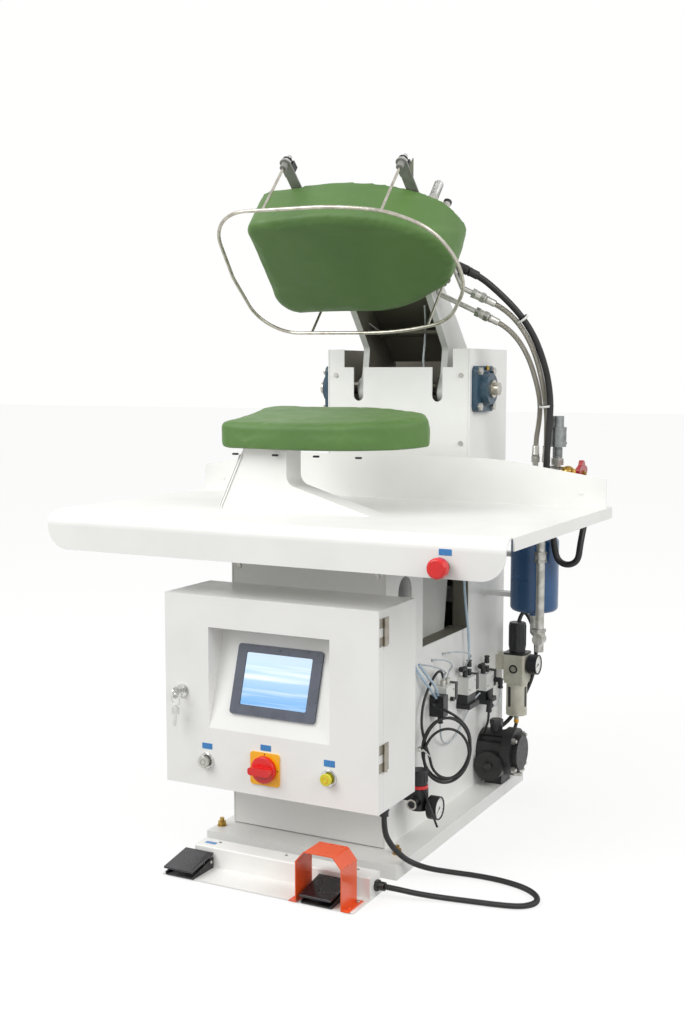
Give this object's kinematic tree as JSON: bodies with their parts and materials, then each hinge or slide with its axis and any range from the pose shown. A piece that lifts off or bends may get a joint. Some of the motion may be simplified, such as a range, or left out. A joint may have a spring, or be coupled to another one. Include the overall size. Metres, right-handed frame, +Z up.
{
  "type": "waistband press",
  "caption": "Pneumatic steam press for trouser waistbands: padded head on a swinging arm over a fixed padded buck, with table, control box and foot pedals.",
  "frame": {"origin": "on the floor, under the middle of the column, at the foot of the floor tray", "axes": "+X to the viewer's right, +Y to the rear, +Z up; the operator stands on the -Y side"},
  "size_m": [1.0809, 0.985, 1.499],
  "materials": {
    "cream_paint": "satin",
    "blue_paint": "gloss",
    "orange_paint": "gloss",
    "red_paint": "gloss",
    "polished_steel": "polished",
    "zinc_steel": "zinc plated",
    "cast_aluminium": "as cast",
    "chrome_plate": "plated",
    "valve_brass": "satin",
    "black_iron": "painted black",
    "pad_cloth": "coated cloth",
    "hose_rubber": "matt",
    "hose_braid": "braided",
    "black_plastic": "matt",
    "white_plastic": "matt",
    "yellow_plastic": "gloss",
    "red_plastic": "gloss",
    "bezel_plastic": "satin"
  },
  "bodies": {
    "base": {"floor_tray": "cream_paint", "hex_bolts": "zinc_steel", "side_plate_left": "cream_paint", "side_plate_right": "cream_paint", "front_panel": "cream_paint", "tower_front_panel": "cream_paint", "rear_panel": "cream_paint", "vacuum_duct": "cream_paint", "panel_screws": "zinc_steel", "work_table": "cream_paint", "buck_pedestal": "cream_paint", "lower_buck_plate": "cast_aluminium", "lower_pad": "pad_cloth", "bearing_housings": "blue_paint", "cylinder_bracket": "cream_paint", "head_hose": "hose_rubber", "braided_hose_right": "hose_braid", "braided_hose_left": "hose_braid", "control_box": "cream_paint", "control_gear": "white_plastic", "door_hinges": "chrome_plate", "cable_glands": "zinc_steel", "conduit": "hose_rubber", "estop_collar": "black_plastic", "foot_plate": "cream_paint", "foot_box": "cream_paint", "pedal_bases": "black_plastic", "pedal_guard": "orange_paint", "filter_regulator": "cast_aluminium", "line_regulator": "black_plastic", "solenoid_valves": "white_plastic", "tube_coil": "hose_rubber", "steam_trap": "black_iron", "condensate_tank": "blue_paint", "steam_pipework": "zinc_steel", "steam_valves": "valve_brass"},
    "head_arm": {"arm_frame": "cream_paint", "main_shaft": "polished_steel", "head_plate": "cast_aluminium", "upper_pad": "pad_cloth", "ring_brackets": "zinc_steel", "limit_switches": "black_plastic", "head_fittings": "zinc_steel"},
    "safety_ring": {"safety_ring": "polished_steel"},
    "cylinder_barrel": {"cylinder_barrel": "cast_aluminium"},
    "cylinder_rod": {"cylinder_rod": "polished_steel"},
    "box_door": {"box_door": "cream_paint", "hmi_panel": "bezel_plastic", "door_bezels": "chrome_plate", "rotary_switch": "yellow_plastic"},
    "door_key": {"door_key": "chrome_plate"},
    "switch_knob": {"switch_knob": "red_plastic"},
    "start_button": {"start_button": "chrome_plate"},
    "stop_button": {"stop_button": "yellow_plastic"},
    "estop_button": {"estop_button": "red_plastic"},
    "treadle_left": {"treadle_left": "black_plastic"},
    "treadle_right": {"treadle_right": "black_plastic"},
    "valve_handwheel": {"valve_handwheel": "red_paint"},
    "filter_knob": {"filter_knob": "black_plastic"},
    "regulator_knob": {"regulator_knob": "black_plastic"}
  },
  "joints": [
    {"name": "head_hinge", "type": "hinge", "parent": "base", "child": "head_arm", "pos_m": [0, 0.195, 0.991], "axis": [1, 0, 0], "range_deg": [0, 49], "stiffness_Nm_per_rad": 60, "springref_deg": -85.94, "deforming": ["head_hose", "braided_hose_right", "braided_hose_left"]},
    {"name": "ring_lift", "type": "slide", "parent": "head_arm", "child": "safety_ring", "axis": [0, 0.6691, 0.7431], "range_m": [0, 0.008]},
    {"name": "cylinder_swing", "type": "hinge", "parent": "base", "child": "cylinder_barrel", "pos_m": [0, 0.292, 0.52], "axis": [1, 0, 0], "range_deg": [-2, 2]},
    {"name": "cylinder_stroke", "type": "slide", "parent": "cylinder_barrel", "child": "cylinder_rod", "axis": [0, 0.0209, 0.9998], "range_m": [0, 0.095]},
    {"name": "door_hinge", "type": "hinge", "parent": "base", "child": "box_door", "pos_m": [0.2595, -0.468, 0.3], "axis": [0, 0, 1], "range_deg": [0, 110]},
    {"name": "key_turn", "type": "hinge", "parent": "box_door", "child": "door_key", "pos_m": [-0.202, -0.49, 0.3665], "axis": [0, 1, 0], "range_deg": [0, 90]},
    {"name": "switch_turn", "type": "hinge", "parent": "box_door", "child": "switch_knob", "pos_m": [-0.001, -0.49, 0.225], "axis": [0, 1, 0], "range_deg": [0, 90]},
    {"name": "start_press", "type": "slide", "parent": "box_door", "child": "start_button", "axis": [0, 1, 0], "range_m": [0, 0.004], "stiffness_N_per_m": 500},
    {"name": "stop_press", "type": "slide", "parent": "box_door", "child": "stop_button", "axis": [0, 1, 0], "range_m": [0, 0.004], "stiffness_N_per_m": 500},
    {"name": "estop_press", "type": "slide", "parent": "base", "child": "estop_button", "axis": [0, 1, 0], "range_m": [0, 0.004]},
    {"name": "treadle_left_press", "type": "hinge", "parent": "base", "child": "treadle_left", "pos_m": [-0.15, -0.52, 0.024], "axis": [1, 0, 0], "range_deg": [0, 5], "stiffness_Nm_per_rad": 4, "springref_deg": -11.46},
    {"name": "treadle_right_press", "type": "hinge", "parent": "base", "child": "treadle_right", "pos_m": [0.169, -0.52, 0.024], "axis": [1, 0, 0], "range_deg": [0, 5], "stiffness_Nm_per_rad": 4, "springref_deg": -11.46},
    {"name": "handwheel_turn", "type": "hinge", "parent": "base", "child": "valve_handwheel", "pos_m": [0.424, 0.24, 0.795], "axis": [1, 0, 0], "range_deg": [0, 1080]},
    {"name": "filter_knob_turn", "type": "hinge", "parent": "base", "child": "filter_knob", "pos_m": [0.236, 0.343, 0.376], "axis": [0, 0, 1], "range_deg": [0, 720]},
    {"name": "regulator_knob_turn", "type": "hinge", "parent": "base", "child": "regulator_knob", "pos_m": [0.232, -0.244, 0.17], "axis": [0, 0, 1], "range_deg": [0, 720]}
  ],
  "couplings": [
    {"joint": "cylinder_swing", "follows": "head_hinge", "ratio": 0.0235},
    {"joint": "cylinder_stroke", "follows": "head_hinge", "m_per_rad": 0.1062}
  ]
}
